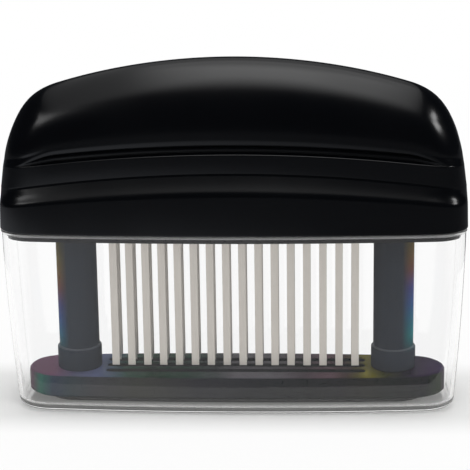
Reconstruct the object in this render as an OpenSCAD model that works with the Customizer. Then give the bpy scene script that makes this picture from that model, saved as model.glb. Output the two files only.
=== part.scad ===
// Hand-press blade meat tenderizer standing in its clear storage cover.
// Origin: centre of the cover's bottom. +X along the handle, -Y towards the user, +Z up. Millimetres.

/* [Handle] */
// Overall height, from the cover's bottom to the top of the handle
total_height = 110; // [109.8:0.2:113]
// Length of the handle at its skirt
handle_length = 143.4; // [143:0.2:148]
// Depth of the handle at the middle of its skirt
handle_depth = 38.2; // [37:0.2:41]
// Radius of the handle's corners, seen from above
handle_corner = 10; // [7:0.5:12]
// How far the long sides draw in from the middle to the ends
side_bow = 3; // [1:0.25:4]

/* [Cover] */
// Height of the clear cover's rim
cover_height = 58.5; // [56:0.5:58.5]
// Wall of the clear cover
cover_wall = 1.2; // [1:0.1:2]
// Floor of the clear cover
cover_floor = 2; // [1.2:0.1:2]
// Length of the cover near its bottom
cover_base_length = 136.4; // [136.2:0.2:136.6]
// Depth of the cover near its bottom
cover_base_depth = 32.8; // [32:0.2:34]

/* [Blades] */
// Blades in one row
blades_per_row = 16; // [8:1:16]
// Distance from blade to blade in a row
blade_pitch = 5; // [4.6:0.1:5]
// Distance from row to row
row_pitch = 4.9; // [4.6:0.1:5.4]
// Width of one blade
blade_width = 2.3; // [1.8:0.1:2.6]
// Thickness of one blade
blade_thickness = 0.7; // [0.4:0.1:0.8]

/* [Foot] */
// Length of the foot plate
foot_length = 132; // [129:0.2:132]
// Depth of the foot plate at its middle
foot_depth = 22.6; // [22.4:0.2:25]
// Width of the three slots that the blades pass through
slot_width = 2.7; // [2:0.1:3.4]

/* [Columns and springs] */
// Distance between the two columns
column_spacing = 99; // [98.4:0.2:99.2]
// Outer radius of the columns
column_radius = 6.3; // [5.8:0.1:6.4]
// Stroke of the press
press_travel = 34; // [20:1:34]
// Turns of each return spring
spring_turns = 12; // [8:1:12]
// Wire diameter of the return springs
spring_wire = 1; // [0.8:0.1:1]

/* [Hidden] */

$fn = 48;
// Overshoot of a cut past the face it opens
cut = 1;
// Clearance between pieces of one assembly
seat = 0.05;

// Heights of the foot, from the cover's floor up
foot_gap = 0.3;
pad_bottom = cover_floor + foot_gap;
foot_bottom = pad_bottom + 1.2;
foot_top = foot_bottom + 7.5;
collar_top = foot_top + 7.1;
blade_tip = foot_top + 1.8;

// Heights of the head: the frame's band hangs in the cover's mouth
handle_bottom = cover_height + 0.2;
frame_bottom = cover_height - 2.6;
frame_top = frame_bottom + 4;
carrier_bottom = frame_bottom + 0.4;
carrier_top = frame_top + 3;
retainer_top = carrier_top + 2;

// The handle: level lines of its grip at the middle of its length, and the half-depths of the
// band that the fingertips hold and of the dome's shoulder above it
half_l = handle_length / 2;
half_d = handle_depth / 2;
handle_wall = 1.8;
skirt_top = handle_bottom + 12.7;
crease_z = skirt_top + 5.6;
band_top = crease_z + 6.1;
shoulder_z = band_top + 4.7;
band_half_depth = half_d - 4.1;
shoulder_half_depth = half_d - 4.5;

// The head's mechanism
column_x = column_spacing / 2;
column_top = frame_bottom + 5.7;
column_floor_top = 48;
column_floor = 2;
spring_bore = 4.4;
lower_bore = 4.2;
collar_radius = column_radius + 0.65;
spigot_radius = 5.6;
spring_seat = column_floor_top + press_travel + 16;
rod_radius = 2.6;
rod_spigot = 1.8;
rod_bottom = column_floor_top - column_floor - 0.2;
washer_height = 0.8;
screw_radius = 1.25;
bush_radius = 7.6;
bush_top = frame_top + 6.1;
nut_radius = 7.8;
nut_height = 2.4;

// The blade block
row_half = (blades_per_row - 1) * blade_pitch / 2;
blade_rows = 3;
head_width = 3.6;
head_height = 1.8;
head_seat = carrier_top - head_height;
bevel_height = 3;
slot_half = row_half + 3.2;
window_half_length = row_half + 2.1;
window_half_depth = 8.6;
carrier_play = 0.3;
flange_half_depth = 13;
carrier_screw_x = [-30, 0, 30];
carrier_screw_y = 10.8;
frame_screw_x = 60.5;
frame_screw_y = 10.8;
boss_top = handle_bottom + 11.3;

// ---- Outlines and lofts ----

// One quarter of the plan outline: a corner arc and half a long side, whose depth falls by `bow`
// from the middle of the object to its end
function quarter(l, d, r, bow, arc_steps, side_steps) = [
    for (p = concat(
        [for (i = [0:arc_steps]) [l - r + r * cos(90 * i / arc_steps), d - r + r * sin(90 * i / arc_steps)]],
        [for (i = [1:side_steps]) [(l - r) * (1 - i / side_steps), d]]
    )) [p[0], p[1] * (1 - bow / d * pow(p[0] / l, 2))]
];

// The whole plan outline, counter-clockwise, from its quarter
function outline(l, d, r, bow, arc_steps = 6, side_steps = 5) =
    let (
        q = quarter(l, d, r, bow, arc_steps, side_steps),
        n = len(q)
    )
    concat(
        q,
        [for (i = [n - 2:-1:0]) [-q[i][0], q[i][1]]],
        [for (i = [0:n - 1]) [-q[i][0], -q[i][1]]],
        [for (i = [n - 2:-1:0]) [q[i][0], -q[i][1]]]
    );

// A level ring of a loft
function level(z, l, d, r, bow) = [for (p = outline(l, d, r, bow)) [p[0], p[1], z]];

// A ring that arches: it falls by `drop` at its ends
function arched(z, drop, l, d, r, bow) = [
    for (p = outline(l, d, r, bow)) [p[0], p[1], z - drop * pow(p[0] / l, 2)]
];

// The faces of a loft whose rings have n points each. Every list of faces is clockwise from outside.
function strip(n, first, count) = [
    for (j = [0:count - 2])
    for (i = [0:n - 1])
    let (a = (first + j) * n + i, b = (first + j) * n + (i + 1) % n)
    each [[a, a + n, b], [b, a + n, b + n]]
];

function flipped(faces) = [for (f = faces) [f[0], f[2], f[1]]];

// A cap joins each point to its mirror point across the X axis, so it follows an arched ring
function cap(n, ring, up) =
    let (first = ring * n)
    [
        for (i = [0:n / 2 - 2])
        let (a = first + i, b = a + 1, c = first + n - 1 - i, d = c - 1)
        each up ? [[a, c, b], [b, c, d]] : [[a, b, c], [b, d, c]]
    ];

// The edge of an open side, from the outer ring to the inner one
function rim(n, outer_ring, inner_ring) = [
    for (i = [0:n - 1])
    let (a = outer_ring * n + i, b = outer_ring * n + (i + 1) % n)
    let (c = inner_ring * n + i, d = inner_ring * n + (i + 1) % n)
    each [[a, c, b], [b, c, d]]
];

// A closed solid through rings, from the lowest to the highest
module loft(rings) {
    n = len(rings[0]);
    count = len(rings);
    points = [for (ring = rings) each ring];
    polyhedron(
        points = points,
        faces = concat(strip(n, 0, count), cap(n, 0, false), cap(n, count - 1, true)),
        convexity = 6
    );
}

// A shell between outer and inner rings, open at the bottom
module cap_shell(outer, inner) {
    n = len(outer[0]);
    m = len(outer);
    k = len(inner);
    points = [for (ring = concat(outer, inner)) each ring];
    sides = concat(strip(n, 0, m), flipped(strip(n, m, k)));
    ends = concat(cap(n, m - 1, true), cap(n, m + k - 1, false), flipped(rim(n, 0, m)));
    polyhedron(points = points, faces = concat(sides, ends), convexity = 6);
}

// A shell between outer and inner rings, open at the top
module tub_shell(outer, inner) {
    n = len(outer[0]);
    m = len(outer);
    k = len(inner);
    points = [for (ring = concat(outer, inner)) each ring];
    sides = concat(strip(n, 0, m), flipped(strip(n, m, k)));
    ends = concat(cap(n, 0, false), cap(n, m, true), rim(n, m - 1, m + k - 1));
    polyhedron(points = points, faces = concat(sides, ends), convexity = 6);
}

// ---- Cover ----

// How far the cover has widened at a height: a draft that eases off towards the rim
function widening(z) = 2.95 * (1 - pow(1 - min(1, z / cover_height), 1.6));
function cover_half_length(z) = cover_base_length / 2 + widening(z);
function cover_half_depth(z) = cover_base_depth / 2 + 0.6 * widening(z);

// A level ring of the cover, drawn in from its outer face
function cover_ring(z, draw) =
    let (r = handle_corner - 1 - draw * 0.6)
    level(z, cover_half_length(z) - draw, cover_half_depth(z) - draw, r, side_bow);

// Rings of the cover's outer or inner face, drawn in by `inset`, with a rounded bottom edge
function cover_rings(inset, floor_z, edge, rim_z) = [
    for (a = [0:30:90])
        cover_ring(floor_z + edge * (1 - cos(a)), inset + edge * (1 - sin(a))),
    for (part = [0.25:0.25:1])
        cover_ring(floor_z + edge + (rim_z - floor_z - edge) * part, inset)
];

module storage_cover() {
    color([0.92, 0.94, 0.95, 0.35])
    tub_shell(
        cover_rings(0, 0, 2.8, cover_height),
        cover_rings(cover_wall, cover_floor, 1.6, cover_height)
    );
}

// ---- Handle ----

// How far the finger recess has run out, from 0 over most of the length to 1 near the ends
function run_out(x) = pow(max(0, min(1, (abs(x) - half_l + 18.7) / 13.2)), 1.6);

// Heights along the grip: the dome's shoulder, and the ridge that arches over it
function along_grip(x) = pow(x / (half_l - 1.7), 2);
function shoulder(x) = shoulder_z - 6 * along_grip(x) - 2 * run_out(x);
function ridge(x) = total_height - 12.9 * along_grip(x) - pow(along_grip(x), 3);

// Dome rings from the shoulder, raised by `lift`, to the ridge, lowered by `sink`: a superellipse in
// section, shorter and narrower as it rises. The last ring is a thin strip along the ridge.
function dome_rings(lift, sink, half_depth, l_low, l_high, steps) = [
    for (i = [1:steps])
    let (
        a = 88 * i / steps,
        high = pow(sin(a), 1.1),
        l = l_high + (l_low - l_high) * pow(1 - pow(high, 1.27), 0.165),
        d = half_depth * pow(cos(a), 1.1)
    )
    [
        for (p = outline(l, d, min(handle_corner, d * 0.9), d * side_bow / half_d))
        [p[0], p[1], (shoulder(p[0]) + lift) * (1 - high) + (ridge(p[0]) - sink) * high]
    ]
];

// A ring of the grip whose long sides are cut back to a panel, `panel` deep at the middle. The ends
// stay whole. `recess` cuts deeper where the fingers go, and `fall` lowers the ring past it.
function cut_back(z, drop, l, d, r, panel, recess = 0, fall = 0) = [
    for (p = outline(l, d, r, side_bow))
    let (
        along = pow(p[0] / l, 2),
        depth = panel - recess * (1 - run_out(p[0])) - 2.5 * along
    )
    [p[0], sign(p[1]) * min(abs(p[1]), depth), z - drop * along - fall * run_out(p[0])]
];

function handle_outer(r) =
    concat(
        [
            level(handle_bottom, half_l - 0.3, half_d - 0.3, r, side_bow),
            level(handle_bottom + 0.4, half_l, half_d, r, side_bow),
            arched(skirt_top, 5, half_l - 0.2, half_d, r, side_bow),
            cut_back(skirt_top + 0.6, 5.05, half_l - 0.25, half_d, r, half_d - 0.2),
            cut_back(skirt_top + 1.2, 5.1, half_l - 0.3, half_d, r, half_d - 0.7),
            cut_back(crease_z, 5.9, half_l - 0.5, half_d - 0.6, r, band_half_depth),
            cut_back(band_top, 5.45, half_l - 1.35, half_d - 2.4, r, band_half_depth),
            cut_back(band_top + 0.35, 5.5, half_l - 1.4, half_d - 2.5, r, band_half_depth - 0.3),
            cut_back(band_top + 0.65, 5.5, half_l - 1.45, half_d - 2.6, r, shoulder_half_depth, 1.6),
            cut_back(band_top + 2.1, 5.35, half_l - 1.5, half_d - 3, r, shoulder_half_depth, 2.2, 1.3),
            cut_back(band_top + 2.6, 5.2, half_l - 1.55, half_d - 3.2, r, shoulder_half_depth, 0.6, 1.9),
            cut_back(band_top + 3.3, 5.5, half_l - 1.6, half_d - 3.5, r, shoulder_half_depth, 0, 2),
            cut_back(shoulder_z, 6, half_l - 1.7, half_d - 3.8, r, shoulder_half_depth, 0, 2)
        ],
        dome_rings(0, 0, shoulder_half_depth, half_l - 1.7, half_l - 29.5, 9)
    );

function handle_cavity(wall, r) =
    concat(
        [
            level(handle_bottom, half_l - wall, half_d - wall, r, side_bow),
            arched(skirt_top - 0.8, 5, half_l - wall - 0.2, half_d - wall - 0.5, r, side_bow),
            arched(crease_z - 1.6, 5.9, half_l - wall - 0.8, band_half_depth - 1.9, r, side_bow - 0.5),
            arched(band_top - 2.8, 5.5, half_l - wall - 1.6, band_half_depth - 2.1, r, side_bow - 0.5),
            arched(band_top - 1, 5.5, half_l - wall - 1.8, band_half_depth - 4.6, r - 1, side_bow - 0.8),
            arched(band_top + 2.6, 6.6, half_l - wall - 2, band_half_depth - 4.8, r - 1, side_bow - 0.8),
            arched(shoulder_z + 0.7, 8, half_l - wall - 2.2, shoulder_half_depth - 3, r - 1, side_bow - 0.8)
        ],
        dome_rings(0.7, 2.8, shoulder_half_depth - 3, half_l - wall - 2.2, half_l - wall - 29.5, 6)
    );

module handle_shell() {
    color([0.07, 0.07, 0.075])
    difference() {
        union() {
            cap_shell(handle_outer(handle_corner), handle_cavity(handle_wall, handle_corner - handle_wall));
            for (sx = [-1, 1]) {
                translate([sx * column_x, 0, spring_seat]) cylinder(r = 4.2, h = 3.3);
                for (sy = [-1, 1])
                    translate([sx * frame_screw_x, sy * frame_screw_y, frame_top])
                        cylinder(r = 2.8, h = boss_top - frame_top);
            }
        }
        for (sx = [-1, 1]) {
            translate([sx * column_x, 0, spring_seat - cut]) cylinder(r = rod_spigot + seat / 2, h = cut + 3);
            for (sy = [-1, 1])
                translate([sx * frame_screw_x, sy * frame_screw_y, frame_top - cut])
                    cylinder(r = screw_radius + seat / 2, h = cut + 9);
        }
    }
}

// ---- Frame under the handle ----

module base_frame() {
    // Its band hangs in the cover's mouth with a little play
    frame_half_length = cover_half_length(frame_bottom) - cover_wall - 0.35;
    frame_half_depth = cover_half_depth(frame_bottom) - cover_wall - 0.45;
    color([0.25, 0.25, 0.27])
    difference() {
        union() {
            translate([0, 0, frame_bottom])
                linear_extrude(frame_top - frame_bottom)
                    polygon(outline(frame_half_length, frame_half_depth, handle_corner - 2, side_bow));
            for (sx = [-1, 1])
                translate([sx * column_x, 0, frame_bottom]) cylinder(r = 9.2, h = bush_top - frame_bottom);
        }
        translate([-window_half_length, -window_half_depth, frame_bottom - cut])
            cube([2 * window_half_length, 2 * window_half_depth, frame_top - frame_bottom + 2 * cut]);
        for (sx = [-1, 1]) {
            translate([sx * column_x, 0, frame_bottom - cut]) cylinder(r = column_radius + 0.5, h = 20);
            translate([sx * column_x, 0, frame_bottom + 0.6]) cylinder(r = bush_radius, h = 20);
            for (sy = [-1, 1])
                translate([sx * frame_screw_x, sy * frame_screw_y, 0]) {
                    translate([0, 0, frame_bottom - cut]) cylinder(r = 2.6, h = cut + 1.8);
                    translate([0, 0, frame_bottom]) cylinder(r = screw_radius + seat, h = 10);
                }
        }
        for (x = carrier_screw_x)
            for (sy = [-1, 1])
                translate([x, sy * carrier_screw_y, frame_bottom + 1]) cylinder(r = screw_radius + seat, h = 10);
    }
}

module guide_bush(x) {
    color([0.75, 0.75, 0.72])
    translate([x, 0, 0])
    rotate_extrude()
        polygon([
            [column_radius + 0.06, frame_bottom + 0.6],
            [bush_radius, frame_bottom + 0.6],
            [bush_radius, bush_top],
            [bush_radius + 1, bush_top],
            [bush_radius + 1, bush_top + 1],
            [column_radius + 0.06, bush_top + 1]
        ]);
}

module guide_bush_left() {
    guide_bush(-column_x);
}

module guide_bush_right() {
    guide_bush(column_x);
}

// Countersunk-free pan head screw, head down, with its seat at z
module screw_up(z, head_radius, head_height, length) {
    translate([0, 0, z - head_height]) cylinder(r = head_radius, h = head_height);
    translate([0, 0, z]) cylinder(r = screw_radius, h = length);
}

module frame_screws() {
    color([0.7, 0.7, 0.72])
    for (sx = [-1, 1])
        for (sy = [-1, 1])
            translate([sx * frame_screw_x, sy * frame_screw_y, 0])
                screw_up(frame_bottom + 1.8, 2.4, 1.6, 10);
}

// ---- Blades and what holds them ----

// The middle of a blade, counted along its row and across the rows
function blade_x(i) = i * blade_pitch - row_half;

// A flat steel strip with a T head at the top and a chisel edge at the bottom
module blade() {
    half_t = blade_thickness / 2;
    translate([-blade_width / 2, 0, 0])
    rotate([90, 0, 90])
    linear_extrude(blade_width)
        polygon([
            [-half_t, carrier_top],
            [-half_t, blade_tip],
            [half_t, blade_tip + bevel_height],
            [half_t, carrier_top]
        ]);
    translate([-head_width / 2, -half_t, head_seat]) cube([head_width, blade_thickness, head_height]);
}

module blade_row(y) {
    color([0.77, 0.75, 0.72])
    for (i = [0:blades_per_row - 1])
        translate([blade_x(i), y, 0]) blade();
}

module blades_front() {
    blade_row(-row_pitch);
}

module blades_middle() {
    blade_row(0);
}

module blades_rear() {
    blade_row(row_pitch);
}

module carrier_screw_places() {
    for (x = carrier_screw_x)
        for (sy = [-1, 1])
            translate([x, sy * carrier_screw_y, 0]) children();
}

module blade_carrier() {
    half_l_block = window_half_length - carrier_play;
    half_d_block = window_half_depth - carrier_play;
    slot_x = blade_width + 2 * seat;
    slot_y = blade_thickness + 2 * seat;
    head_x = head_width + 2 * seat;
    color([0.2, 0.2, 0.21])
    difference() {
        union() {
            translate([-half_l_block, -half_d_block, carrier_bottom])
                cube([2 * half_l_block, 2 * half_d_block, carrier_top - carrier_bottom]);
            translate([-half_l_block, -flange_half_depth, frame_top])
                cube([2 * half_l_block, 2 * flange_half_depth, carrier_top - frame_top]);
        }
        for (row = [-1:blade_rows - 2])
            for (i = [0:blades_per_row - 1])
                translate([blade_x(i), row * row_pitch, 0]) {
                    translate([-slot_x / 2, -slot_y / 2, carrier_bottom - cut])
                        cube([slot_x, slot_y, carrier_top - carrier_bottom + 2 * cut]);
                    translate([-head_x / 2, -slot_y / 2, head_seat]) cube([head_x, slot_y, head_height + cut]);
                }
        carrier_screw_places()
            translate([0, 0, frame_top - cut]) cylinder(r = screw_radius + seat, h = 3 + 2 * cut);
    }
}

module blade_retainer() {
    half_l_plate = window_half_length - carrier_play;
    color([0.62, 0.63, 0.65])
    difference() {
        translate([-half_l_plate, -flange_half_depth, carrier_top])
            cube([2 * half_l_plate, 2 * flange_half_depth, retainer_top - carrier_top]);
        carrier_screw_places()
            translate([0, 0, carrier_top - cut]) cylinder(r = screw_radius + seat, h = 2 + 2 * cut);
    }
}

module carrier_screws() {
    color([0.7, 0.7, 0.72])
    carrier_screw_places() {
        translate([0, 0, retainer_top]) cylinder(r = 2.2, h = 1.6);
        translate([0, 0, frame_bottom + 1.2]) cylinder(r = screw_radius, h = retainer_top - frame_bottom - 1.2);
    }
}

// ---- Guide rods, stops and springs ----

module guide_rod(x) {
    color([0.72, 0.72, 0.74])
    translate([x, 0, 0])
    difference() {
        union() {
            translate([0, 0, rod_bottom]) cylinder(r = rod_radius, h = spring_seat - rod_bottom);
            translate([0, 0, spring_seat]) cylinder(r = rod_spigot, h = 2.9);
        }
        translate([0, 0, rod_bottom - cut]) cylinder(r = screw_radius + seat / 2, h = cut + 9);
    }
}

module guide_rod_left() {
    guide_rod(-column_x);
}

module guide_rod_right() {
    guide_rod(column_x);
}

module stop_washers() {
    color([0.72, 0.72, 0.74])
    for (sx = [-1, 1])
        translate([sx * column_x, 0, rod_bottom - washer_height])
            difference() {
                cylinder(r = 3.8, h = washer_height);
                translate([0, 0, -cut]) cylinder(r = 1.4, h = washer_height + 2 * cut);
            }
}

module stop_screws() {
    color([0.7, 0.7, 0.72])
    for (sx = [-1, 1])
        translate([sx * column_x, 0, 0]) screw_up(rod_bottom - washer_height, 2.6, 1.8, 8.8);
}

// How far up a return spring is at a fraction of its wire: its end turns lie closer together
function spring_rise(t) = t - sin(360 * t) * 0.09;

module return_spring(x) {
    rings_per_turn = 8;
    sides = 6;
    wire = spring_wire / 2;
    coil = spring_bore - 0.35 - wire;
    low = column_floor_top + wire;
    high = spring_seat - wire;
    last = spring_turns * rings_per_turn;
    points = [
        for (k = [0:last])
        let (t = k / last, turn = 360 * spring_turns * t, z = low + (high - low) * spring_rise(t))
        for (s = [0:sides - 1])
        let (a = 360 * s / sides, r = coil + wire * cos(a))
        [r * cos(turn), r * sin(turn), z + wire * sin(a)]
    ];
    faces = concat(
        [
            for (k = [0:last - 1])
            for (s = [0:sides - 1])
            let (a = k * sides + s, b = k * sides + (s + 1) % sides)
            each [[a, b, a + sides], [b, b + sides, a + sides]]
        ],
        [[for (s = [sides - 1:-1:0]) s]],
        [[for (s = [0:sides - 1]) last * sides + s]]
    );
    color([0.75, 0.75, 0.76])
    translate([x, 0, 0]) polyhedron(points = points, faces = faces, convexity = 10);
}

module spring_left() {
    return_spring(-column_x);
}

module spring_right() {
    return_spring(column_x);
}

// ---- Foot ----

// The three blade slots, from z up through height h
module blade_slots(z, h) {
    r = slot_width / 2;
    for (row = [-1:blade_rows - 2])
        translate([0, row * row_pitch, z]) {
            for (sx = [-1, 1])
                translate([sx * (slot_half - r), 0, 0]) cylinder(r = r, h = h);
            translate([r - slot_half, -r, 0]) cube([2 * (slot_half - r), slot_width, h]);
        }
}

module foot_plate() {
    l = foot_length / 2;
    d = foot_depth / 2;
    // The ends are nearly half round
    r = d - 0.4;
    edge = 0.9;
    bow = 2.2;
    color([0.27, 0.27, 0.29])
    difference() {
        loft(concat(
            [level(foot_bottom, l - 0.6, d - 0.6, r - 0.6, bow)],
            [level(foot_bottom + 0.6, l, d, r, bow)],
            [
                for (a = [0:30:90])
                let (draw = edge * (1 - cos(a)))
                level(foot_top - edge + edge * sin(a), l - draw, d - draw, r - draw, bow)
            ]
        ));
        blade_slots(foot_bottom - cut, foot_top - foot_bottom + 2 * cut);
        for (sx = [-1, 1])
            translate([sx * column_x, 0, foot_bottom - cut]) {
                cylinder(r = spigot_radius + seat, h = 12);
                cylinder(r = nut_radius + 0.2, h = cut + nut_height + 0.2);
            }
    }
}

module foot_pad() {
    color([0.1, 0.1, 0.11])
    difference() {
        translate([0, 0, pad_bottom])
            linear_extrude(foot_bottom - pad_bottom)
                polygon(outline(foot_length / 2 - 6.6, foot_depth / 2 - 0.4, foot_depth / 2 - 2.4, 1.9));
        blade_slots(pad_bottom - cut, 2 * cut + 1.2);
        for (sx = [-1, 1])
            translate([sx * column_x, 0, pad_bottom - cut]) cylinder(r = lower_bore + 0.2, h = 2 * cut + 1.2);
    }
}

// A tube with a collar that stands on the foot plate, a spigot through the plate and an inner
// floor that carries the spring
module column(x) {
    floor_bottom = column_floor_top - column_floor;
    color([0.27, 0.27, 0.29])
    translate([x, 0, 0])
    rotate_extrude()
        polygon([
            [lower_bore, foot_bottom + 0.2],
            [spigot_radius, foot_bottom + 0.2],
            [spigot_radius, foot_top],
            [collar_radius, foot_top],
            [collar_radius, collar_top - 0.5],
            [collar_radius - 0.4, collar_top],
            [column_radius, collar_top],
            [column_radius, column_top - 0.8],
            [column_radius - 0.8, column_top],
            [spring_bore, column_top],
            [spring_bore, column_floor_top],
            [rod_radius + 0.1, column_floor_top],
            [rod_radius + 0.1, floor_bottom],
            [lower_bore, floor_bottom]
        ]);
}

module column_left() {
    column(-column_x);
}

module column_right() {
    column(column_x);
}

// Ring nuts in the foot's underside, with four notches for a pin key
module column_nuts() {
    color([0.6, 0.6, 0.62])
    for (sx = [-1, 1])
        translate([sx * column_x, 0, foot_bottom + 0.2])
            difference() {
                cylinder(r = nut_radius, h = nut_height);
                translate([0, 0, -cut]) cylinder(r = spigot_radius + seat / 2, h = nut_height + 2 * cut);
                for (a = [0:90:270])
                    rotate(a) translate([nut_radius - 1, -0.8, -cut]) cube([2, 1.6, cut + 1.2]);
            }
}

storage_cover();
handle_shell();
base_frame();
blade_carrier();
blade_retainer();
blades_front();
blades_middle();
blades_rear();
carrier_screws();
frame_screws();
guide_bush_left();
guide_bush_right();
guide_rod_left();
guide_rod_right();
stop_washers();
stop_screws();
spring_left();
spring_right();
foot_plate();
foot_pad();
column_left();
column_right();
column_nuts();
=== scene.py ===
"""Looks of the blade meat tenderizer in its clear storage cover.

Lengths in the functions are millimetres, and MM turns them to Blender's metres."""

import math

import bmesh
import bpy
from mathutils import Matrix, Vector


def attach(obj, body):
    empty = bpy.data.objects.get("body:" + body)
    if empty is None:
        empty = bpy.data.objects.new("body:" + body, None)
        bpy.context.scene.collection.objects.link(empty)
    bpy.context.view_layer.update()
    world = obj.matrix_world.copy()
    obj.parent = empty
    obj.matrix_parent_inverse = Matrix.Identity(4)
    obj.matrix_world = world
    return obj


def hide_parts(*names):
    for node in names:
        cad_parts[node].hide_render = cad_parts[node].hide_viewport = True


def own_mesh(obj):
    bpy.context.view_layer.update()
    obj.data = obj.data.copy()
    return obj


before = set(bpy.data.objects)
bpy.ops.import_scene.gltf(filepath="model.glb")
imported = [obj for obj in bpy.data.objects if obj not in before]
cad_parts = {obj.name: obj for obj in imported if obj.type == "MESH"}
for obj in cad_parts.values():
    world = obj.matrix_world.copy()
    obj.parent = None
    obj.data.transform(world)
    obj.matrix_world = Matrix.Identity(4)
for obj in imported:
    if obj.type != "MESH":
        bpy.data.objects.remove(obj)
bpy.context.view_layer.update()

MM = 0.001

# ---- The tenderizer's own measures, as in the part's source ----

COVER_HEIGHT = 58.5
COVER_WALL = 1.2
COVER_FLOOR = 2.0
COVER_BASE_LENGTH = 136.4
COVER_BASE_DEPTH = 32.8

HANDLE_HALF_LENGTH = 71.7
HANDLE_HALF_DEPTH = 19.1
HANDLE_CORNER = 10.0
HANDLE_WALL = 1.8
SIDE_BOW = 3.0
HANDLE_BOTTOM = COVER_HEIGHT + 0.2
SKIRT_TOP = HANDLE_BOTTOM + 12.7
CREASE = SKIRT_TOP + 5.6
BAND_TOP = CREASE + 6.1
SHOULDER = BAND_TOP + 4.7
BAND_HALF_DEPTH = HANDLE_HALF_DEPTH - 4.1
SHOULDER_HALF_DEPTH = HANDLE_HALF_DEPTH - 4.5
# A hair under the source's 110, since the solid's facets lie just inside its curve
TOTAL_HEIGHT = 110 - 0.02

COLUMN_X = 49.5
FOOT_TOP = 11.0
COLLAR_TOP = FOOT_TOP + 7.1

PRESS_TRAVEL = 34.0
SPRING_TURNS = 12
SPRING_WIRE = 1.0
SPRING_RADIUS = 3.55
SPRING_PRESSED = 16.0
SPRING_LOW = 48.0
SPRING_HIGH = SPRING_LOW + PRESS_TRAVEL + SPRING_PRESSED

# ---- The curves of the grip and the cover, matched to the photo ----

# How far the shoulder line and the ridge line fall from the middle to the ends
SHOULDER_HALF_LENGTH = 70.0
SHOULDER_FALL = 6.0
RIDGE_HALF_LENGTH = HANDLE_HALF_LENGTH - 29.5
RIDGE_FALL = 12.9
RIDGE_TIP_FALL = 1.0
# How far the cut-back sides draw in towards the ends, more so where they stand farther out
PANEL_BOW = 2.3
PANEL_BOW_POWER = 1.6
# The edge where the cut meets the whole ends: sharp beside the recess, and this soft past it
SHARP_EDGE = 0.02
SOFT_EDGE = 2.0
# The finger recess is whole up to this distance from the middle and runs out over the next stretch,
# beyond which the lip above it lies lower
RECESS_HALF_LENGTH = HANDLE_HALF_LENGTH - 18.7
RECESS_RUN_OUT = 15.5
RECESS_END_DROP = 2.0
# The dome is an arc of this many degrees, whose sine and cosine are raised to a power. The other two
# powers round its ends
DOME_ARC = 88
DOME_POWER = 1.1
DOME_END_RISE = 1.27
DOME_END_POWER = 0.165
# The corners of its rings are at most this share of their half-depth
DOME_CORNER_SHARE = 0.9

# The cover's half-length grows by this from floor to rim, mostly near the floor, and its half-depth by
# a share of that
COVER_WIDENING = 2.95
COVER_WIDENING_POWER = 1.6
COVER_DEPTH_SHARE = 0.6
# Its corner radius in plan, which gives up this share of what a ring is drawn in by
COVER_CORNER = HANDLE_CORNER - 1
COVER_CORNER_SHARE = 0.6
COVER_FOOT_RADIUS = 2.8
COVER_FLOOR_RADIUS = 1.6
# The bead stands this far out of the wall and starts this far below the rim
BEAD = 0.3
BEAD_HEIGHT = 1.2
RIM_RADIUS = 0.45

# How much closer together a return spring's end turns lie
SPRING_CLOSING = 0.09

# How finely the curves are divided
CORNER_STEPS = 16
SIDE_STEPS = 36
STATION_STEPS = 7
DOME_STEPS = 40
INNER_DOME_STEPS = 8
COVER_EDGE_STEPS = 8
COVER_WALL_STEPS = 12
WIRE_SIDES = 10
STEPS_PER_TURN = 32

# ---- Clear and dark plastic ----

# Below polystyrene's own 1.59: the walls would veil what stands behind them more than in the photo
CLEAR_IOR = 1.42
# Below polycarbonate's own 1.58: the white of its gloss would hide the strain colours
GRAPHITE_IOR = 1.06

# ---- The camera, as fitted to the photo ----

CAMERA_PLACE = (30.4, -583.8, 228.3)
CAMERA_YAW = 2.96
CAMERA_PITCH = 16.63
CAMERA_ROLL = -0.84
CAMERA_LENS = 150.42


# ---- Nodes and colours ----

def linear(hex_code):
    """A colour written as sRGB hex, as the linear RGBA that a shader takes."""
    parts = [int(hex_code[i:i + 2], 16) / 255 for i in (1, 3, 5)]
    return [p / 12.92 if p <= 0.04045 else ((p + 0.055) / 1.055) ** 2.4 for p in parts] + [1.0]


def add_node(tree, kind, links=None, out=0, **settings):
    """Adds a node and gives one of its outputs. A link's value is a number, a colour or another's output."""
    made = tree.nodes.new(kind)
    for name, value in settings.items():
        setattr(made, name, value)
    for name, value in (links or {}).items():
        if isinstance(value, bpy.types.NodeSocket):
            tree.links.new(value, made.inputs[name])
        else:
            made.inputs[name].default_value = value
    return made.outputs[out] if len(made.outputs) else None


def new_finish(name):
    """An empty material and its node tree."""
    made = bpy.data.materials.new(name)
    made.use_nodes = True
    made.node_tree.nodes.clear()
    return made, made.node_tree


def per(size):
    """The scale at which a pattern repeats about once in this many millimetres."""
    return 1 / (size * MM)


# ---- Finishes ----

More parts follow.
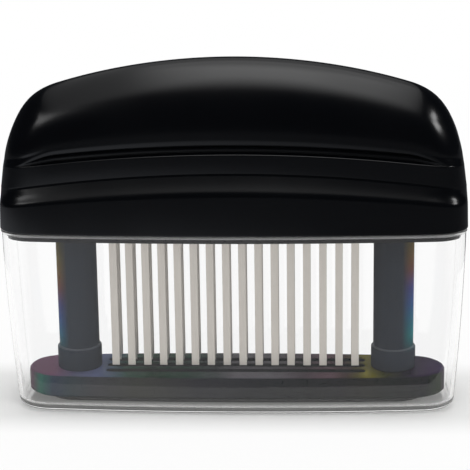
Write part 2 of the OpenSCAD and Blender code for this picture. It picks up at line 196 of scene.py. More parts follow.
def moulded_abs():
    """Black ABS, injection moulded in a finely blasted mould: a deep, slightly blue satin black whose
    highlights are broad and soft, with a very slight unevenness where the melt cooled."""
    made, tree = new_finish("moulded_abs_satin_black")
    place = add_node(tree, "ShaderNodeTexCoord", out="Object")
    cooling = add_node(tree, "ShaderNodeTexNoise", {"Vector": place, "Scale": per(22), "Detail": 3.0})
    black = add_node(tree, "ShaderNodeMix", {
        "Factor": cooling, 6: linear("#020306"), 7: linear("#040508")}, 2, data_type="RGBA")
    gloss = add_node(tree, "ShaderNodeMapRange", {
        "Value": cooling, "From Min": 0.3, "From Max": 0.7, "To Min": 0.19, "To Max": 0.23})
    # The blasted grain is about 0.05 mm, too fine for the picture, so it is drawn at 0.35 mm
    blasting = add_node(tree, "ShaderNodeTexNoise", {"Vector": place, "Scale": per(0.35)})
    grain = add_node(tree, "ShaderNodeBump", {"Height": blasting, "Strength": 0.05, "Distance": 0.02 * MM})
    body = add_node(tree, "ShaderNodeBsdfPrincipled", {
        "Base Color": black, "Roughness": gloss, "Normal": grain, "IOR": 1.5})
    add_node(tree, "ShaderNodeOutputMaterial", {"Surface": body})
    return made


def clear_polystyrene(name, polish, matt):
    """Crystal polystyrene, injection moulded and polished: water-clear, with bright edges where the
    wall turns and hardly any tint. Polish is its least roughness, and matt is the share of light that
    scatters, as on a rim fresh from the mould."""
    made, tree = new_finish(name)
    place = add_node(tree, "ShaderNodeTexCoord", out="Object")
    cloud = add_node(tree, "ShaderNodeTexNoise", {"Vector": place, "Scale": per(9), "Detail": 4.0})
    haze = add_node(tree, "ShaderNodeMapRange", {
        "Value": cloud, "From Min": 0.45, "From Max": 0.75, "To Min": polish, "To Max": polish + 0.02})
    wall = add_node(tree, "ShaderNodeBsdfPrincipled", {
        "Base Color": linear("#FFFFFF"), "Roughness": haze, "IOR": CLEAR_IOR,
        "Transmission Weight": 1.0 - matt})
    # Lamp light goes straight through, to what stands inside the cover
    lamp_light = add_node(tree, "ShaderNodeBsdfTransparent")
    to_lamp = add_node(tree, "ShaderNodeLightPath", out="Is Shadow Ray")
    both = add_node(tree, "ShaderNodeMixShader", {0: to_lamp, 1: wall, 2: lamp_light})
    add_node(tree, "ShaderNodeOutputMaterial", {"Surface": both})
    return made


# Bands of colour that the strain shows, each given by where it lies in mm: along the foot's sides, along
# its top, and up the columns' outer sides. The foot's sets also hold painted light: they are paler towards
# the left, as painted side light, and the top set is paler than the side set, as painted light from above
SIDE_STRAIN_AND_PAINTED_SHADE = (
    (-65, "#4A3242"), (-61.5, "#1E5A4C"), (-57, "#243044"), (-52, "#26343B"), (-44, "#313136"),
    (-31, "#30302A"), (-12, "#18181F"), (8, "#080A12"), (24, "#000306"), (33, "#020008"),
    (41, "#0C0900"), (49, "#000604"), (59, "#00000A"), (63.5, "#16240C"), (65, "#2A0E2E"))
TOP_STRAIN_AND_PAINTED_LIGHT = (
    (-65, "#614256"), (-58, "#69425B"), (-50, "#565872"), (-43, "#5C6488"), (-34, "#2A4A3C"),
    (-26, "#00280E"), (-15, "#00301E"), (-6, "#3A3E40"), (0, "#5F5B61"), (11, "#5F5B61"),
    (22, "#43363E"), (30, "#5A404A"), (35, "#3A2622"), (38.5, "#4A4408"), (41.3, "#706900"),
    (47, "#2A2C08"), (52, "#10081C"), (60, "#1C002C"), (65, "#241038"))
COLUMN_BANDS = (
    (20, "#126468"), (26, "#1C5672"), (30, "#2A4878"), (35, "#38386C"), (41, "#643A30"),
    (45, "#6C5028"), (50, "#6A5C2C"), (55, "#50481C"))
# The bands wander this far to either side, and those up the columns sit higher on the right, by this
# much for each millimetre along
BAND_WANDER = 3
BAND_CLIMB = 0.055


def polycarbonate_strain_and_painted_light():
    """Graphite polycarbonate, moulded and glossy. The strain frozen into it near the gates and edges shows as
    faint bands of colour along its length, and up the outer sides of the columns. On the foot the bands also
    carry painted light, paler on the top and towards the left, and the collars' top edges have a painted
    highlight."""
    made, tree = new_finish("moulded_polycarbonate_graphite")
    place = add_node(tree, "ShaderNodeTexCoord", out="Object")
    x = add_node(tree, "ShaderNodeSeparateXYZ", {0: place}, "X")
    z = add_node(tree, "ShaderNodeSeparateXYZ", {0: place}, "Z")
    flow = add_node(tree, "ShaderNodeTexNoise", {"Vector": place, "Scale": per(14)})

    # Where each set of bands is read
    wander = add_node(tree, "ShaderNodeMapRange", {
        "Value": flow, "To Min": -BAND_WANDER * MM, "To Max": BAND_WANDER * MM})
    along = add_node(tree, "ShaderNodeMath", {0: x, 1: wander}, operation="ADD")
    climb = add_node(tree, "ShaderNodeMath", {0: x, 1: -BAND_CLIMB}, operation="MULTIPLY")
    height = add_node(tree, "ShaderNodeMath", {0: z, 1: climb}, operation="ADD")
    colours = []
    for at, bands in ((along, SIDE_STRAIN_AND_PAINTED_SHADE), (along, TOP_STRAIN_AND_PAINTED_LIGHT), (height, COLUMN_BANDS)):
        low, high = bands[0][0], bands[-1][0]
        share = add_node(tree, "ShaderNodeMapRange", {
            "Value": at, "From Min": low * MM, "From Max": high * MM})
        colour = add_node(tree, "ShaderNodeValToRGB", {"Fac": share})
        stops = colour.node.color_ramp.elements
        while len(stops) < len(bands):
            stops.new(0.5)
        for stop, (where, hex_code) in zip(stops, bands):
            stop.position = (where - low) / (high - low)
            stop.color = linear(hex_code)
        colours.append(colour)
    side_strain_and_shade, top_strain_and_light, upward = colours

    # The foot shows its side bands or its top ones, by which way the surface faces: the paler top set is
    # painted light from above and the darker side set painted shade
    facing = add_node(tree, "ShaderNodeTexCoord", out="Normal")
    facing = add_node(tree, "ShaderNodeSeparateXYZ", {0: facing}, "Z")
    facing = add_node(tree, "ShaderNodeMapRange", {"Value": facing, "From Min": 0.3, "From Max": 0.8})
    lengthwise = add_node(tree, "ShaderNodeMix", {
        "Factor": facing, 6: side_strain_and_shade, 7: top_strain_and_light}, 2, data_type="RGBA")
    # Above the foot the plain grey takes over
    grey = add_node(tree, "ShaderNodeMix", {
        "Factor": flow, 6: linear("#282D36"), 7: linear("#2F343D")}, 2, data_type="RGBA")
    on_foot = add_node(tree, "ShaderNodeMapRange", {
        "Value": z, "From Min": (FOOT_TOP + 0.1) * MM, "From Max": (FOOT_TOP + 0.5) * MM,
        "To Min": 1.0, "To Max": 0.1})
    tone = add_node(tree, "ShaderNodeMix", {"Factor": on_foot, 6: grey, 7: lengthwise}, 2, data_type="RGBA")

    # The columns' own bands lie on their outer sides, from the collars up
    aside = add_node(tree, "ShaderNodeMath", {0: x}, operation="ABSOLUTE")
    outer_side = add_node(tree, "ShaderNodeMapRange", {
        "Value": aside, "From Min": (COLUMN_X + 2.5) * MM, "From Max": (COLUMN_X + 5.5) * MM})
    above_foot = add_node(tree, "ShaderNodeMapRange", {
        "Value": z, "From Min": (FOOT_TOP + 6) * MM, "From Max": (FOOT_TOP + 11) * MM})
    edge = add_node(tree, "ShaderNodeMath", {0: outer_side, 1: above_foot}, operation="MULTIPLY")
    tone = add_node(tree, "ShaderNodeMix", {"Factor": edge, 6: tone, 7: upward}, 2, data_type="RGBA")

    # A painted highlight: the collars' top edges are painted pale, as if they caught the light
    off_edge = add_node(tree, "ShaderNodeMath", {0: z, 1: COLLAR_TOP * MM}, operation="SUBTRACT")
    off_edge = add_node(tree, "ShaderNodeMath", {0: off_edge}, operation="ABSOLUTE")
    painted_collar_highlight = add_node(tree, "ShaderNodeMapRange", {
        "Value": off_edge, "From Min": 0.1 * MM, "From Max": 0.35 * MM, "To Min": 0.3, "To Max": 0.0})
    tone = add_node(tree, "ShaderNodeMix", {
        "Factor": painted_collar_highlight, 6: tone, 7: linear("#8C9296")}, 2, data_type="RGBA")

    gloss = add_node(tree, "ShaderNodeMapRange", {
        "Value": flow, "From Min": 0.3, "From Max": 0.7, "To Min": 0.2, "To Max": 0.26})
    body = add_node(tree, "ShaderNodeBsdfPrincipled", {
        "Base Color": tone, "Roughness": gloss, "IOR": GRAPHITE_IOR})
    add_node(tree, "ShaderNodeOutputMaterial", {"Surface": body})
    return made


def ground_steel(name, dark, light, grit, stretch, rough=(0.34, 0.46), scatter=0.0):
    """Steel with the lines that a grinding belt or a rolling mill leaves along it: a soft sheen that
    streaks one way. Scatter is the share of light that the torn-up surface throws all round."""
    made, tree = new_finish(name)
    # Grinding lines lie about 0.03 mm apart and are drawn coarser, so that they show
    place = add_node(tree, "ShaderNodeTexCoord", out="Object")
    drawn_out = add_node(tree, "ShaderNodeMapping", {"Vector": place, "Scale": stretch})
    lines = add_node(tree, "ShaderNodeTexNoise", {"Vector": drawn_out, "Scale": per(grit)})
    steel = add_node(tree, "ShaderNodeMix", {
        "Factor": lines, 6: linear(dark), 7: linear(light)}, 2, data_type="RGBA")
    sheen = add_node(tree, "ShaderNodeMapRange", {"Value": lines, "To Min": rough[0], "To Max": rough[1]})
    scratches = add_node(tree, "ShaderNodeBump", {"Height": lines, "Strength": 0.15, "Distance": 0.02 * MM})
    body = add_node(tree, "ShaderNodeBsdfPrincipled", {
        "Base Color": steel, "Roughness": sheen, "Normal": scratches, "Metallic": 1.0 - scatter})
    add_node(tree, "ShaderNodeOutputMaterial", {"Surface": body})
    return made


def zinc_plate():
    """Zinc plating, blue passivated, on pressed steel: bright, a little cloudy, with a cool cast."""
    made, tree = new_finish("zinc_plated_steel")
    place = add_node(tree, "ShaderNodeTexCoord", out="Object")
    cloud = add_node(tree, "ShaderNodeTexNoise", {"Vector": place, "Scale": per(1.8), "Detail": 3.0})
    zinc = add_node(tree, "ShaderNodeMix", {
        "Factor": cloud, 6: linear("#AEB4BC"), 7: linear("#CDD0D2")}, 2, data_type="RGBA")
    sheen = add_node(tree, "ShaderNodeMapRange", {"Value": cloud, "To Min": 0.2, "To Max": 0.34})
    # The plating's crystals are about 0.02 mm across and are drawn at 0.3 mm
    crystals = add_node(tree, "ShaderNodeTexNoise", {"Vector": place, "Scale": per(0.3)})
    relief = add_node(tree, "ShaderNodeBump", {"Height": crystals, "Strength": 0.1, "Distance": 0.01 * MM})
    body = add_node(tree, "ShaderNodeBsdfPrincipled", {
        "Base Color": zinc, "Roughness": sheen, "Normal": relief, "Metallic": 1.0})
    add_node(tree, "ShaderNodeOutputMaterial", {"Surface": body})
    return made


def moulded_polymer(name, dark, light, rough, grain, depth, ior):
    """A plain polymer: even colour with slight flow marks and the surface's own grain, whose size and
    depth are in mm."""
    made, tree = new_finish(name)
    place = add_node(tree, "ShaderNodeTexCoord", out="Object")
    flow = add_node(tree, "ShaderNodeTexNoise", {"Vector": place, "Scale": per(12), "Detail": 3.0})
    colour = add_node(tree, "ShaderNodeMix", {
        "Factor": flow, 6: linear(dark), 7: linear(light)}, 2, data_type="RGBA")
    sheen = add_node(tree, "ShaderNodeMapRange", {
        "Value": flow, "From Min": 0.3, "From Max": 0.7, "To Min": rough, "To Max": rough + 0.08})
    # The grain is finer than 0.1 mm and is drawn several times coarser, so that it shows
    texture = add_node(tree, "ShaderNodeTexNoise", {"Vector": place, "Scale": per(grain)})
    relief = add_node(tree, "ShaderNodeBump", {"Height": texture, "Strength": 0.3, "Distance": depth * MM})
    body = add_node(tree, "ShaderNodeBsdfPrincipled", {
        "Base Color": colour, "Roughness": sheen, "Normal": relief, "IOR": ior})
    add_node(tree, "ShaderNodeOutputMaterial", {"Surface": body})
    return made


FINISHES = {
    "abs": moulded_abs(),
    "clear": clear_polystyrene("moulded_polystyrene_clear", polish=0.0, matt=0.0),
    "clear_rim": clear_polystyrene("moulded_polystyrene_matt_rim", polish=0.3, matt=0.25),
    "graphite": polycarbonate_strain_and_painted_light(),
    # Ground from the tang to the tip: a warm, soft grey with hardly a glint
    "blade": ground_steel(
        "ground_stainless_strip", "#C1BBB3", "#DAD5CE", grit=0.25, stretch=(1, 1, 0.02), scatter=0.18),
    # Rolled lengthwise: a darker, flat grey
    "plate": ground_steel("rolled_steel_plate", "#9C9EA1", "#BFC0C1", grit=0.4, stretch=(0.03, 1, 1)),
    # Centreless grinding leaves its lines round the rod, which shines
    "rod": ground_steel(
        "centreless_ground_rod", "#B9BBBE", "#DADBDC", grit=0.25, stretch=(1, 1, 8), rough=(0.16, 0.26)),
    # Drawing leaves the wire dark and smooth
    "spring": ground_steel(
        "drawn_spring_wire", "#7E8085", "#A9ABAE", grit=0.3, stretch=(0.2, 0.2, 1), rough=(0.25, 0.36)),
    "zinc": zinc_plate(),
    # Glass-filled nylon keeps a dry, slightly mottled look
    "nylon": moulded_polymer(
        "moulded_nylon_black", "#141415", "#1E1E20", rough=0.5, grain=0.5, depth=0.03, ior=1.53),
    # Acetal is waxy and bright
    "acetal": moulded_polymer(
        "turned_acetal_white", "#DCDAD2", "#E8E6E0", rough=0.3, grain=0.4, depth=0.01, ior=1.48),
    # The frame is a plain dark moulding of the grip's own plastic, hardly glossy behind the clear wall
    "frame": moulded_polymer(
        "moulded_abs_frame", "#040506", "#08090B", rough=0.28, grain=0.4, depth=0.01, ior=1.2),
    # Soft rubbery plastic with a matt bloom
    "pad": moulded_polymer(
        "moulded_tpe_black", "#101011", "#19191A", rough=0.62, grain=0.6, depth=0.05, ior=1.5),
}


# ---- Rings and skins ----

def plan_outline(length, depth, corner, bow):
    """The plan outline, counter-clockwise: half-length, half-depth, corner radius, and how far the long
    sides draw in towards the ends."""
    arc = [math.radians(90 * i / CORNER_STEPS) for i in range(CORNER_STEPS + 1)]
    quarter = [(length - corner + corner * math.cos(a), depth - corner + corner * math.sin(a)) for a in arc]
    quarter += [((length - corner) * (1 - i / SIDE_STEPS), depth) for i in range(1, SIDE_STEPS + 1)]
    quarter = [(x, y * (1 - bow / depth * (x / length) ** 2)) for x, y in quarter]
    back = [(-x, y) for x, y in reversed(quarter[:-1])]
    near = [(-x, -y) for x, y in quarter]
    home = [(x, -y) for x, y in reversed(quarter[:-1])]
    return quarter + back + near + home


def arched_ring(z, drop, length, depth, corner, bow):
    """A ring that falls by drop at its ends."""
    outline = plan_outline(length, depth, corner, bow)
    return [(x, y, z - drop * (x / length) ** 2) for x, y in outline]


def joined(mesh, rings):
    """Adds rings of points to a mesh, with faces from each ring to the next, and gives the points."""
    rows = [[mesh.verts.new([c * MM for c in point]) for point in ring] for ring in rings]
    count = len(rows[0])
    for low, high in zip(rows, rows[1:]):
        for i in range(count):
            j = (i + 1) % count
            mesh.faces.new((low[i], low[j], high[j], high[i]))
    return rows


def placed(name, mesh, finish):
    """The mesh, with its finish, as an object of the scene."""
    data = bpy.data.meshes.new(name)
    mesh.to_mesh(data)
    mesh.free()
    data.materials.append(finish)
    made = bpy.data.objects.new(name, data)
    bpy.context.scene.collection.objects.link(made)
    return made


def skin(name, rings, finish, body, node):
    """A closed skin through rings, the first and last of which are capped across their width."""
    mesh = bmesh.new()
    rows = joined(mesh, rings)
    count = len(rows[0])
    for row in (rows[0], rows[-1]):
        for i in range(count // 2 - 1):
            mesh.faces.new((row[i], row[i + 1], row[count - 2 - i], row[count - 1 - i]))
    bmesh.ops.recalc_face_normals(mesh, faces=mesh.faces)
    for face in mesh.faces:
        face.smooth = True
    piece = placed(name, mesh, finish)
    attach(piece, body)
    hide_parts(node)
    return piece


def softened(stations):
    """Stations with each marked corner rounded. A station starts with its height and ends with its half-
    depth at the middle and how far from the corner its rounding starts."""
    made = []
    for i, (*here, reach) in enumerate(stations):
        if reach == 0 or i in (0, len(stations) - 1):
            made.append(here)
            continue
        sides = []
        for *other, _ in (stations[i - 1], stations[i + 1]):
            gap = math.hypot(other[0] - here[0], other[-1] - here[-1])
            part = min(0.5, reach / max(gap, 1e-6))
            sides.append([a + (b - a) * part for a, b in zip(here, other)])
        for k in range(STATION_STEPS + 1):
            t = k / STATION_STEPS
            made.append([(1 - t) ** 2 * a + 2 * t * (1 - t) * b + t * t * c
                         for a, b, c in zip(sides[0], here, sides[1])])
    return made


# ---- The grip ----

def run_out(x):
    """How far the finger recess has run out: 0 where it is whole, rising smoothly to 1 near the ends."""
    share = min(1.0, max(0.0, (abs(x) - RECESS_HALF_LENGTH) / RECESS_RUN_OUT))
    return share * share * (3 - 2 * share)


def shoulder(x):
    """The height of the line where the dome starts."""
    return SHOULDER - SHOULDER_FALL * (x / SHOULDER_HALF_LENGTH) ** 2 - RECESS_END_DROP * run_out(x)


def ridge(x):
    """The height of the line along the top of the dome."""
    along = (x / SHOULDER_HALF_LENGTH) ** 2
    return TOTAL_HEIGHT - RIDGE_FALL * along - RIDGE_TIP_FALL * along ** 3


def narrowed_bow(depth):
    """How far the sides draw in at this half-depth, in the skirt's proportion."""
    return depth * SIDE_BOW / HANDLE_HALF_DEPTH


def dome_rings(lift, sink, half_depth, shoulder_length, ridge_length, steps):
    """Level lines of the dome, from its shoulder raised by lift to its ridge lowered by sink."""
    rings = []
    for i in range(1, steps + 1):
        a = math.radians(DOME_ARC * i / steps)
        high = math.sin(a) ** DOME_POWER
        reach = (1 - high ** DOME_END_RISE) ** DOME_END_POWER
        length = ridge_length + (shoulder_length - ridge_length) * reach
        depth = half_depth * math.cos(a) ** DOME_POWER
        corner = min(HANDLE_CORNER, depth * DOME_CORNER_SHARE)
        outline = plan_outline(length, depth, corner, narrowed_bow(depth))
        rings.append([(x, y, (shoulder(x) + lift) * (1 - high) + (ridge(x) - sink) * high)
                      for x, y in outline])
    return rings


def cut_back_ring(z, drop, length, depth, recess, fall, panel):
    """A level line of the grip whose long sides are cut back to a panel, this deep at the middle. The
    recess cuts deeper where the fingers go. Where it has run out, the cut meets the whole ends in a
    rounded edge and the line lies lower by fall."""
    ring = []
    for x, y in plan_outline(length, depth, HANDLE_CORNER, narrowed_bow(depth)):
        along = (x / length) ** 2
        out = run_out(x)
        bow = PANEL_BOW * (panel / BAND_HALF_DEPTH) ** PANEL_BOW_POWER * along
        deep = panel - recess * (1 - out) - bow
        edge = SHARP_EDGE + SOFT_EDGE * out
        overlap = max(edge - abs(abs(y) - deep), 0)
        cut = min(abs(y), deep) - overlap * overlap / (4 * edge)
        ring.append((x, math.copysign(cut, y), z - drop * along - fall * out))
    return ring


def grip():
    """The black grip: a skirt, a hollow slope, a band, the finger recess with its lip, and the dome."""
    long, deep = HANDLE_HALF_LENGTH, HANDLE_HALF_DEPTH
    band, lip = BAND_HALF_DEPTH, SHOULDER_HALF_DEPTH
    # Height, its fall at the ends, half-length, half-depth of the whole ends, recess, its fall where it
    # has run out, half-depth at the middle, rounding
    outside = softened([
        # The skirt
        (HANDLE_BOTTOM, 0, long - 0.6, deep - 0.6, 0, 0, deep - 0.5, 0),
        (HANDLE_BOTTOM, 0, long, deep, 0, 0, deep + 0.1, 0.6),
        (SKIRT_TOP + 0.2, 5, long - 0.2, deep - 0.3, 0, 0, deep - 0.85, 1.1),
        # The slope, and the crease above it
        (CREASE - 2.85, 5.5, long - 0.35, deep - 2.3, 0, 0, band + 1.48, 2),
        (CREASE - 0.35, 5.9, long - 0.5, deep - 2.8, 0, 0, band - 0.1, 0.05),
        (CREASE + 0.3, 5.9, long - 0.5, deep - 2.9, 0, 0, band - 0.25, 0.05),
        # The band
        (CREASE + 0.32, 5.88, long - 0.55, deep - 2.9, 0, 0, band, 0.15),
        (BAND_TOP + 0.15, 5.45, long - 1.35, deep - 3.6, 0, 0, band, 0.35),
        # The floor of the recess
        (BAND_TOP + 0.35, 5.5, long - 1.37, deep - 3.66, 1.6, 0, band, 0.25),
        (BAND_TOP + 0.5, 5.45, long - 1.39, deep - 3.7, 2.15, 0.15, band, 0.3),
        (BAND_TOP + 1.7, 5.4, long - 1.4, deep - 3.72, 2.1, 1.35, band, 0),
    ])
    # The lip above the fingers rolls over softly, from near its underside to its front
    for angle in range(80, -1, -10):
        a = math.radians(angle)
        under, back = math.sin(a), 1 - math.cos(a)
        ledge = (band - lip) * under
        outside.append([
            SHOULDER - 0.3 - 2.3 * under, SHOULDER_FALL - 0.1 - 0.5 * under, long - 1.65 + 0.24 * under,
            deep - 4.35 + 0.6 * under, 1.7 * back + ledge, RECESS_END_DROP - 0.3 * under, lip + 0.02 + ledge])
    outside.append([
        SHOULDER, SHOULDER_FALL, SHOULDER_HALF_LENGTH, deep - 4.45, 0, RECESS_END_DROP, lip + 0.02])
    outer = [cut_back_ring(*station) for station in outside]
    outer += dome_rings(0, 0, lip, SHOULDER_HALF_LENGTH, RIDGE_HALF_LENGTH, DOME_STEPS)

    wall = HANDLE_WALL
    hollow, corner = long - wall, HANDLE_CORNER - wall
    inner = [
        arched_ring(HANDLE_BOTTOM, 0, hollow, deep - wall, corner, SIDE_BOW),
        arched_ring(SKIRT_TOP - 0.8, 5, hollow - 0.2, deep - wall - 0.5, corner, SIDE_BOW),
        arched_ring(CREASE - 1.6, 5.9, hollow - 0.8, band - 1.9, corner, SIDE_BOW - 0.5),
        arched_ring(BAND_TOP - 2.8, 5.5, hollow - 1.6, band - 2.1, corner, SIDE_BOW - 0.5),
        arched_ring(BAND_TOP - 1, 5.5, hollow - 1.8, band - 4.6, corner - 1, SIDE_BOW - 0.8),
        arched_ring(BAND_TOP + 2.6, 6.6, hollow - 2, band - 4.8, corner - 1, SIDE_BOW - 0.8),
        arched_ring(SHOULDER + 0.7, 8, hollow - 2.2, lip - 3, corner - 1, SIDE_BOW - 0.8),
    ]
    inner += dome_rings(0.7, 2.8, lip - 3, hollow - 2.2, RIDGE_HALF_LENGTH - wall, INNER_DOME_STEPS)
    skin("grip", inner[::-1] + outer, FINISHES["abs"], "head", "handle_shell")


# ---- The cover ----

def cover_ring(z, inset):
    """A level line of the cover, drawn in by inset from its outer face."""
    low = 1 - min(1.0, z / COVER_HEIGHT)
    widening = COVER_WIDENING * (1 - low ** COVER_WIDENING_POWER)
    length = COVER_BASE_LENGTH / 2 + widening
    depth = COVER_BASE_DEPTH / 2 + COVER_DEPTH_SHARE * widening
    corner = COVER_CORNER - COVER_CORNER_SHARE * inset
    return arched_ring(z, 0, length - inset, depth - inset, corner, SIDE_BOW)


def cover_face(inset, floor, radius, top):
    """Rings of the cover's outer or inner face, from the floor's rounded edge up to the top."""
    rings = []
    for k in range(COVER_EDGE_STEPS + 1):
        a = math.radians(90 * k / COVER_EDGE_STEPS)
        rings.append(cover_ring(floor + radius * (1 - math.cos(a)), inset + radius * (1 - math.sin(a))))
    for k in range(1, COVER_WALL_STEPS + 1):
        rings.append(cover_ring(floor + radius + (top - floor - radius) * k / COVER_WALL_STEPS, inset))
    return rings


def storage_cover():
    """The clear tub, with a fine bead round its rim and a rounded mouth, both of them matt."""
    outside = cover_face(0, 0, COVER_FOOT_RADIUS, COVER_HEIGHT - BEAD_HEIGHT)
    # Each of the bead's rings lies this far below the top and stands this far out of the wall
    bead = [cover_ring(COVER_HEIGHT - below, -out)
            for below, out in ((0.95, 0.05), (0.85, 0.2), (0.65, BEAD), (RIM_RADIUS, BEAD))]
    mouth = []
    for k in range(1, COVER_EDGE_STEPS):
        a = math.radians(180 * k / COVER_EDGE_STEPS)
        inset = (COVER_WALL - BEAD) / 2 - (COVER_WALL + BEAD) / 2 * math.cos(a)
        mouth.append(cover_ring(COVER_HEIGHT - RIM_RADIUS + RIM_RADIUS * math.sin(a), inset))
    inside = cover_face(COVER_WALL, COVER_FLOOR, COVER_FLOOR_RADIUS, COVER_HEIGHT - RIM_RADIUS)
    cover = skin("storage_cover_wall", outside + bead + mouth + inside[::-1], FINISHES["clear"], "cover",
                 "storage_cover")
    cover.data.materials.append(FINISHES["clear_rim"])
    # The matt runs from the bead to just past the top of the mouth
    matt = range(len(outside), len(outside) + len(bead) + len(mouth) // 2 + 2)
    around = len(bead[0])
    for face in cover.data.polygons:
        if all(corner // around in matt for corner in face.vertices):
            face.material_index = 1


# ---- The return springs ----

def return_spring(side, hand):
    """A coil whose end turns lie closer together. It hangs from the head, drawn at its length before the
    foot presses it short.
    """
    steps = SPRING_TURNS * STEPS_PER_TURN
    wire = SPRING_WIRE / 2
    low, high = SPRING_LOW + wire, SPRING_HIGH - wire
    rings = []
    for k in range(steps + 1):
        share = k / steps
        turn = math.tau * SPRING_TURNS * share
        z = low + (high - low) * (share - SPRING_CLOSING * math.sin(math.tau * share))
        ring = []
        for i in range(WIRE_SIDES):
            a = math.tau * i / WIRE_SIDES
            out = SPRING_RADIUS + wire * math.cos(a)
            x, y = side * COLUMN_X + out * math.cos(turn), out * math.sin(turn)
            ring.append((x, y, z + wire * math.sin(a)))
        rings.append(ring)
    coil = skin("return_spring_" + hand, rings, FINISHES["spring"], "head", "spring_" + hand)
    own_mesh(coil)


# ---- Carried-over CAD nodes ----

NODE_FINISH = {
    "graphite": ("foot_plate", "column_left", "column_right"),
    "frame": ("base_frame",),
    "blade": ("blades_front", "blades_middle", "blades_rear"),
    "nylon": ("blade_carrier",),
    "plate": ("blade_retainer", "column_nuts"),
    "zinc": ("carrier_screws", "frame_screws", "stop_screws", "stop_washers"),
    "acetal": ("guide_bush_left", "guide_bush_right"),
    "rod": ("guide_rod_left", "guide_rod_right"),
    "pad": ("foot_pad",),
}
# The radius of the corners that the mould rounds
ROUNDED = {"foot_plate": 0.4, "foot_pad": 0.5, "base_frame": 0.3, "column_left": 0.3, "column_right": 0.3}


def dress_nodes():
    """Gives the solids that stay as they are their finishes, and rounds the moulded ones' corners."""
    for finish, names in NODE_FINISH.items():
        for name in names:
            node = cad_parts[name]
            node.data.materials.clear()
            node.data.materials.append(FINISHES[finish])
    for name, radius in ROUNDED.items():
        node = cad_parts[name]
        weld = node.modifiers.new("joined_corners", "WELD")
        weld.merge_threshold = 0.004 * MM
        corner = node.modifiers.new("moulded_corners", "BEVEL")
        corner.width = radius * MM
        corner.segments = 3
        corner.limit_method = "ANGLE"
        corner.angle_limit = math.radians(50)
        corner.harden_normals = True


# ---- Studio ----

FLOOR_RADIUS = 3000
TENT_RADIUS = 2500
MAT_HEIGHT = 0.2
MAT_SIDES = 64
# Half-length, reach to the front and reach to the back of each of the mat's rings, from the inside out
MAT_RINGS = ((190, 36, 190), (300, 200, 300), (1000, 1000, 1000), (2400, 2400, 2400))
OVERHEAD_HEIGHT = 850
OVERHEAD_GAP = 5
# Left, right, front and back edges of the panels that make the overhead light, and their radiance
OVERHEAD = (
    (-520, 440, -590, 1155, 0.45), (-240, 400, -490, 500, 0.72),
    (-185, 320, -385, 200, 0.72), (-110, 165, -285, 79, 0.6))
# Each small lamp: place, the corner of the grip that it is aimed at, size and radiance
LEFT_LAMP = ((-614, -550, 724), (-55, -10, 95), (330, 170), 2.8)
RIGHT_LAMP = ((876, -200, 632), (55, -10, 95), (280, 170), 8.0)


def seen_as_white(tree):
    """1 on the rays by which the eye meets the background, straight, mirrored or through the cover."""
    sees = add_node(tree, "ShaderNodeLightPath", out="Is Camera Ray")
    for ray in ("Is Glossy Ray", "Is Transmission Ray"):
        other = add_node(tree, "ShaderNodeLightPath", out=ray)
        sees = add_node(tree, "ShaderNodeMath", {0: sees, 1: other}, operation="MAXIMUM")
    return sees


def studio_floor():
    """A pale card that takes the shadow under the cover and looks white farther out. Its glow is cut back
    over the cover's footprint, a painted shadow laid over the real one.
    """
    made, tree = new_finish("plain_pale_floor")
    card = add_node(tree, "ShaderNodeBsdfDiffuse", {"Color": linear("#F4F4F3")})
    glow = add_node(tree, "ShaderNodeEmission", {"Color": linear("#FFFFFF"), "Strength": 1.0})
    place = add_node(tree, "ShaderNodeTexCoord", out="Object")
    # How many times farther out than the cover's own footprint a point lies
    farther = []
    for axis, whole in (("X", COVER_BASE_LENGTH), ("Y", COVER_BASE_DEPTH)):
        off = add_node(tree, "ShaderNodeSeparateXYZ", {0: place}, axis)
        off = add_node(tree, "ShaderNodeMath", {0: off, 1: 2 / (whole * MM)}, operation="MULTIPLY")
        farther.append(add_node(tree, "ShaderNodeMath", {0: off}, operation="ABSOLUTE"))
    farther = add_node(tree, "ShaderNodeMath", {0: farther[0], 1: farther[1]}, operation="MAXIMUM")
    # Painted shadow over the real one: under the cover's footprint the floor hardly glows, so that patch
    # stays darker than the floor round it, and at twice the footprint it is nearly white
    glow_with_painted_shadow = add_node(tree, "ShaderNodeMapRange", {
        "Value": farther, "From Min": 0.95, "From Max": 1.9, "To Min": 0.05, "To Max": 0.9})
    # Far off it is as white as the room behind it, so no horizon shows
    far_light = add_node(tree, "ShaderNodeMapRange", {
        "Value": farther, "From Min": 1.9, "From Max": 30.0, "To Max": 0.1})
    glow_with_painted_shadow = add_node(tree, "ShaderNodeMath", {0: glow_with_painted_shadow, 1: far_light}, operation="ADD")
    share = add_node(tree, "ShaderNodeMath", {0: seen_as_white(tree), 1: glow_with_painted_shadow}, operation="MULTIPLY")
    both = add_node(tree, "ShaderNodeMixShader", {0: share, 1: card, 2: glow})
    add_node(tree, "ShaderNodeOutputMaterial", {"Surface": both})

    mesh = bmesh.new()
    bmesh.ops.create_circle(mesh, cap_ends=True, radius=FLOOR_RADIUS * MM, segments=96)
    placed("floor", mesh, made)


def studio_world():
    """A white room that gives a plain, even light."""
    world = bpy.data.worlds.new("studio")
    bpy.context.scene.world = world
    world.use_nodes = True
    tree = world.node_tree
    tree.nodes.clear()
    room = add_node(tree, "ShaderNodeBackground", {"Color": linear("#FFFFFF"), "Strength": 0.5})
    white = add_node(tree, "ShaderNodeBackground", {"Color": linear("#FFFFFF"), "Strength": 1.0})
    both = add_node(tree, "ShaderNodeMixShader", {0: seen_as_white(tree), 1: room, 2: white})
    add_node(tree, "ShaderNodeOutputWorld", {"Surface": both})


def only_mirrored(cloth):
    """Lets only glossy reflections meet a cloth of the set."""
    cloth.visible_camera = cloth.visible_diffuse = cloth.visible_transmission = False
    cloth.visible_shadow = cloth.visible_volume_scatter = False


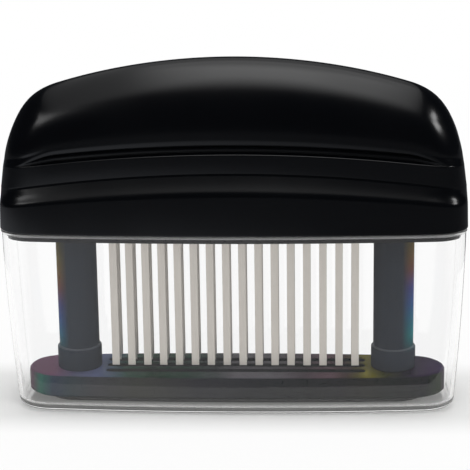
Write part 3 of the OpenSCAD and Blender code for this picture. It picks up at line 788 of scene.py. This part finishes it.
def dark_tent():
    """Black cloth round the set, which keeps the black plastic black."""
    made, tree = new_finish("black_cloth")
    cloth = add_node(tree, "ShaderNodeEmission", {"Color": (0.9, 0.97, 1.1, 1), "Strength": 0.025})
    add_node(tree, "ShaderNodeOutputMaterial", {"Surface": cloth})
    mesh = bmesh.new()
    bmesh.ops.create_uvsphere(mesh, u_segments=48, v_segments=24, radius=TENT_RADIUS * MM)
    only_mirrored(placed("dark_tent", mesh, made))


def dark_mat():
    """A cloth on the floor round the cover, which the grip's lower slopes and the foot mirror. It glows paler
    at the left front, a painted pool of light that stands for more of the room's light falling there."""
    made, tree = new_finish("dark_mat_cloth")
    place = add_node(tree, "ShaderNodeTexCoord", out="Object")
    away = add_node(tree, "ShaderNodeVectorMath", {
        0: place, 1: (-200 * MM, -100 * MM, 0)}, "Value", operation="DISTANCE")
    # Painted pool of light: the cloth glows more the nearer it lies to its left front
    painted_light_pool = add_node(tree, "ShaderNodeMapRange", {
        "Value": away, "From Max": 300 * MM, "To Min": 0.8, "To Max": 0.1})
    cloth = add_node(tree, "ShaderNodeEmission", {"Color": (0.94, 0.98, 1.06, 1), "Strength": painted_light_pool})
    add_node(tree, "ShaderNodeOutputMaterial", {"Surface": cloth})
    around = [math.tau * i / MAT_SIDES for i in range(MAT_SIDES)]
    mesh = bmesh.new()
    joined(mesh, [
        [(long * math.cos(a), (front if a > math.pi else back) * math.sin(a), MAT_HEIGHT) for a in around]
        for long, front, back in MAT_RINGS])
    only_mirrored(placed("dark_mat", mesh, made))


def softbox(name, place, aim, size, radiance):
    """A rectangular soft light of this radiance, where 1 is white, aimed at a point."""
    data = bpy.data.lights.new(name, "AREA")
    data.shape = "RECTANGLE"
    data.size, data.size_y = [s * MM for s in size]
    data.energy = radiance * math.pi * data.size * data.size_y
    lamp = bpy.data.objects.new(name, data)
    bpy.context.scene.collection.objects.link(lamp)
    at, to = Vector(place) * MM, Vector(aim) * MM
    lamp.matrix_world = Matrix.Translation(at) @ (to - at).to_track_quat("-Z", "Y").to_matrix().to_4x4()


def studio_light():
    """A large overhead panel that fades towards its edges, made of four nested ones, and two small lamps
    at the front corners."""
    for step, (left, right, front, back, radiance) in enumerate(OVERHEAD):
        x, y = (left + right) / 2, (front + back) / 2
        place = (x, y, OVERHEAD_HEIGHT - OVERHEAD_GAP * step)
        softbox("overhead_%d" % step, place, (x, y, 0), (right - left, back - front), radiance)
    softbox("left_front", *LEFT_LAMP)
    softbox("right_front", *RIGHT_LAMP)


def photo_camera():
    """The photo's camera, on a full-frame sensor."""
    yaw, pitch, roll = [math.radians(angle) for angle in (CAMERA_YAW, CAMERA_PITCH, CAMERA_ROLL)]
    ahead = Vector((-math.sin(yaw) * math.cos(pitch), math.cos(yaw) * math.cos(pitch), -math.sin(pitch)))
    right = Vector((math.cos(yaw), math.sin(yaw), 0))
    up = right.cross(ahead)
    side = right * math.cos(roll) + up * math.sin(roll)
    top = up * math.cos(roll) - right * math.sin(roll)
    data = bpy.data.cameras.new("photo_camera")
    data.sensor_width = 36
    data.lens = CAMERA_LENS
    data.clip_start, data.clip_end = 0.01, 10
    camera = bpy.data.objects.new("photo_camera", data)
    bpy.context.scene.collection.objects.link(camera)
    turn = Matrix((side, top, -ahead)).transposed().to_4x4()
    camera.matrix_world = Matrix.Translation(Vector(CAMERA_PLACE) * MM) @ turn
    bpy.context.scene.camera = camera


grip()
storage_cover()
return_spring(-1, "left")
return_spring(1, "right")
dress_nodes()
studio_floor()
studio_world()
dark_tent()
dark_mat()
studio_light()
photo_camera()
bpy.context.scene.view_settings.view_transform = "Standard"
